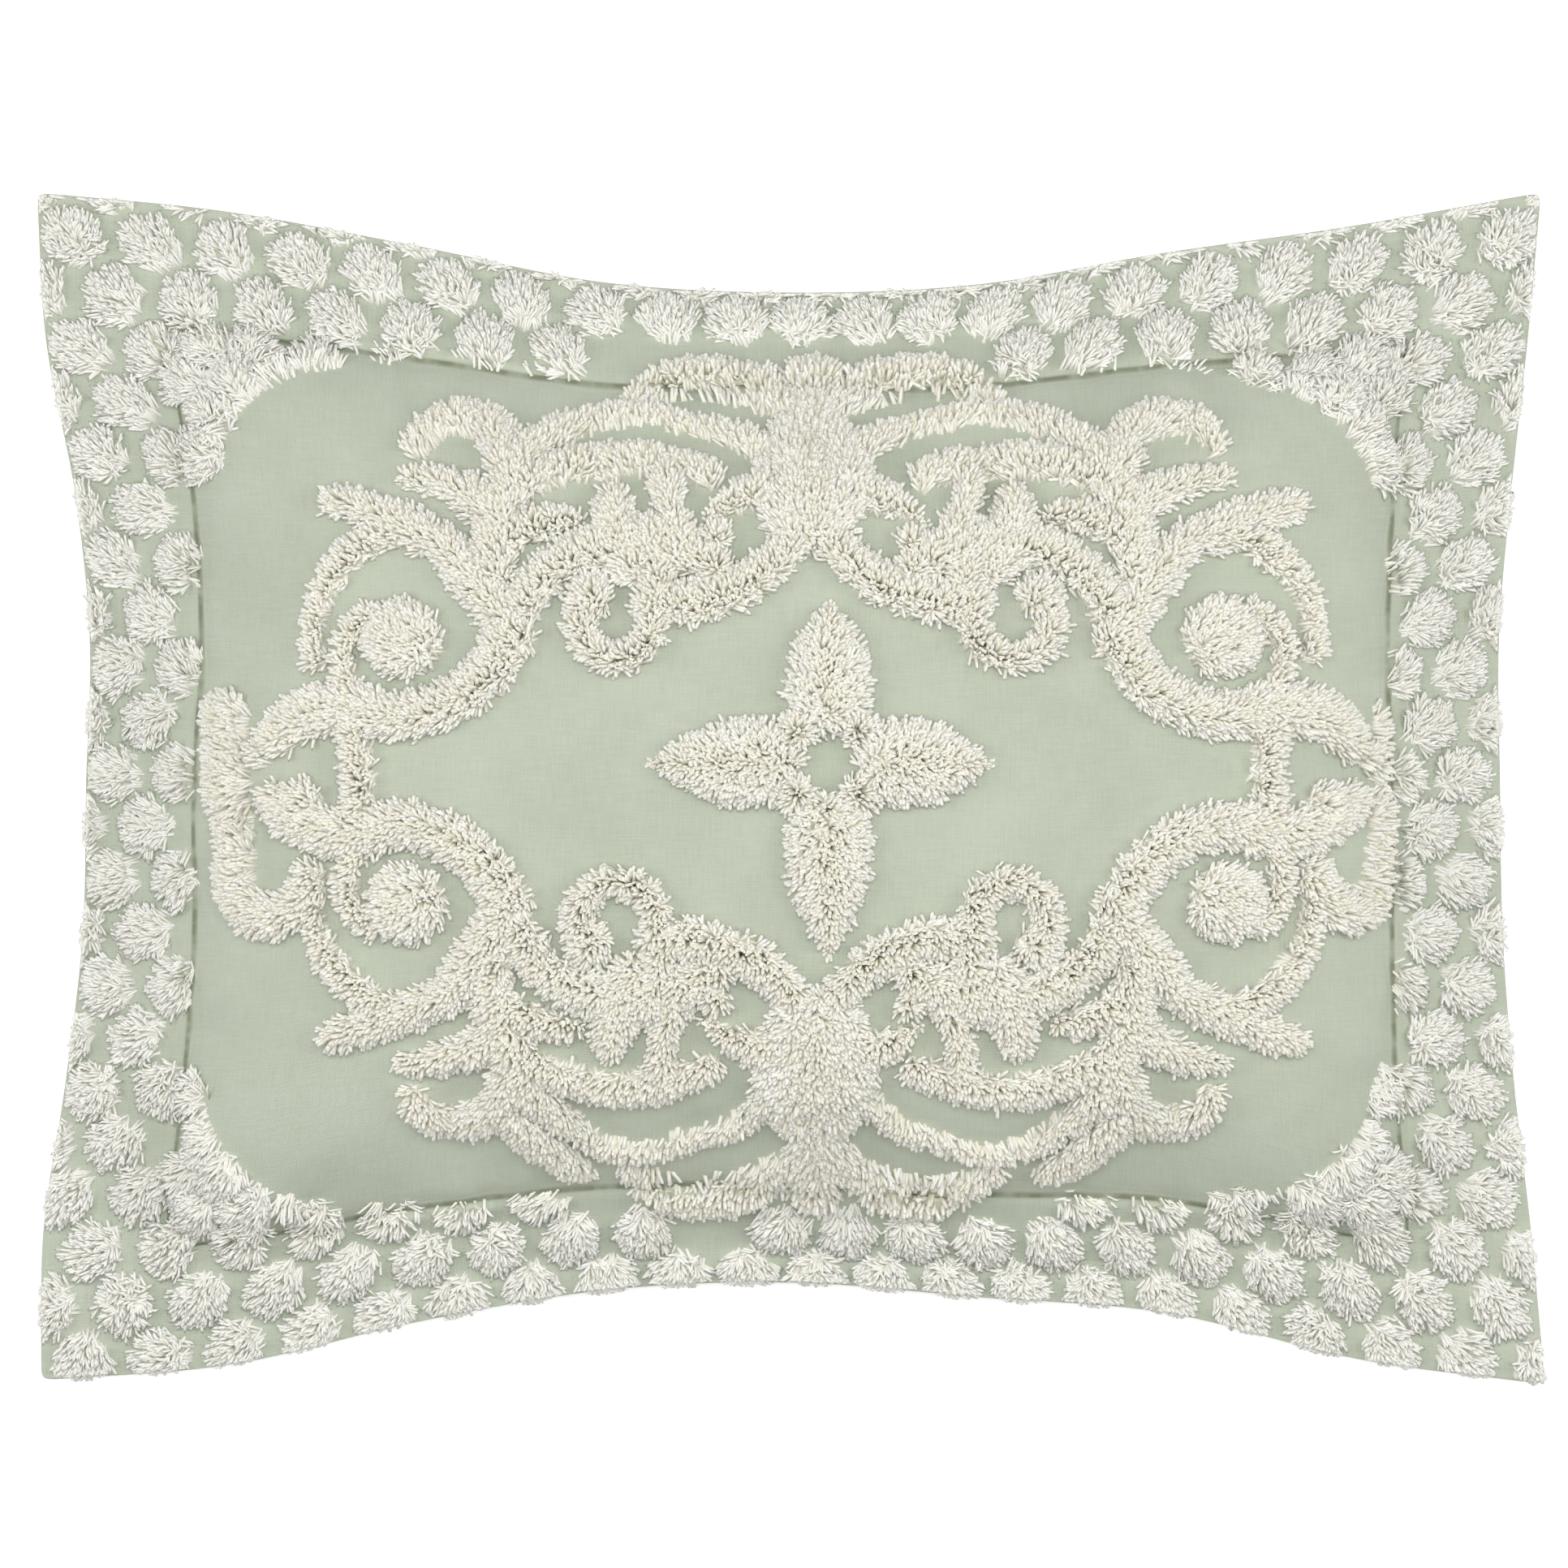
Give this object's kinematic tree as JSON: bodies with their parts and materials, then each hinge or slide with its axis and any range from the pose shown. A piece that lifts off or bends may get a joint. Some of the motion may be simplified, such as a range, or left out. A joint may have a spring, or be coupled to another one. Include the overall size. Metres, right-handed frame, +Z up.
{
  "type": "filled chenille pillow sham with flange",
  "caption": "Rectangular pillow sham on its filled pillow, with a flat flange all round and raised chenille tufting: round tufts on the border, a scrolled medallion and a four-petalled flower.",
  "frame": {"origin": "middle of what the sham covers, on the level it rests on", "axes": "+X along the long side, +Y towards the upper long edge, +Z up out of the tufted face"},
  "size_m": [0.7439, 0.5879, 0.1204],
  "materials": {
    "sage_cotton": "matt plain-woven cotton in pale sage green",
    "chenille_pile": "soft cut cotton pile in ivory"
  },
  "bodies": {
    "root": {"sham": "sage_cotton"}
  },
  "joints": []
}
